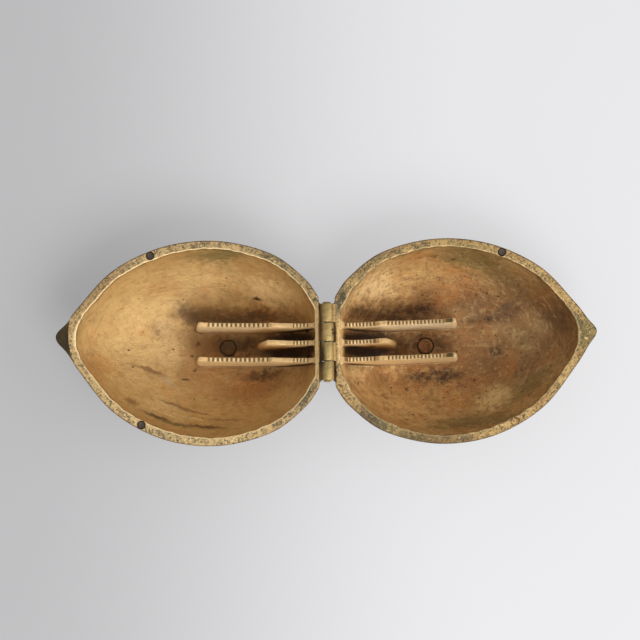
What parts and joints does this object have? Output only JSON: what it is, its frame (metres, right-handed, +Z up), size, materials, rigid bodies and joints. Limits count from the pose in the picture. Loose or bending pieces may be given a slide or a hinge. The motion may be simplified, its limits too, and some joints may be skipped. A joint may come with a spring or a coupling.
{
  "type": "walnut nutcracker",
  "caption": "Cast brass nutcracker shaped as a walnut: half shells on a pinned hinge, opened flat, each with toothed rails that crack a nut as they close.",
  "frame": {"origin": "on the table, under the middle of the hinge, with the nutcracker opened flat", "axes": "+X along the object towards the tip of the right half, +Y along the hinge towards the rear, +Z up"},
  "size_m": [0.3143, 0.1196, 0.0518],
  "materials": {
    "cast_brass": "cast, aged and matte inside, worn at the rim",
    "rail_brass": "cast, worn satin",
    "hinge_brass": "smooth turned, olive patina",
    "plug_brass": "filed flush, dark stained",
    "stud_steel": "dark, dull"
  },
  "bodies": {
    "right_half": {"right_shell": "cast_brass", "right_rear_rail": "rail_brass", "right_front_rail": "rail_brass", "right_middle_rail": "rail_brass", "right_floor_plug": "plug_brass", "right_rear_rim_stud": "stud_steel", "right_front_rim_stud": "stud_steel", "hinge_knuckle_1": "hinge_brass", "hinge_knuckle_3": "hinge_brass", "hinge_pin": "hinge_brass"},
    "left_half": {"left_shell": "cast_brass", "left_rear_rail": "rail_brass", "left_front_rail": "rail_brass", "left_middle_rail": "rail_brass", "left_floor_plug": "plug_brass", "left_rear_rim_stud": "stud_steel", "left_front_rim_stud": "stud_steel", "hinge_knuckle_2": "hinge_brass", "hinge_knuckle_4": "hinge_brass"}
  },
  "joints": [
    {"name": "shell_hinge", "type": "hinge", "parent": "right_half", "child": "left_half", "pos_m": [0, 0, 0.04795], "axis": [0, 1, 0], "range_deg": [-40, 180]}
  ]
}
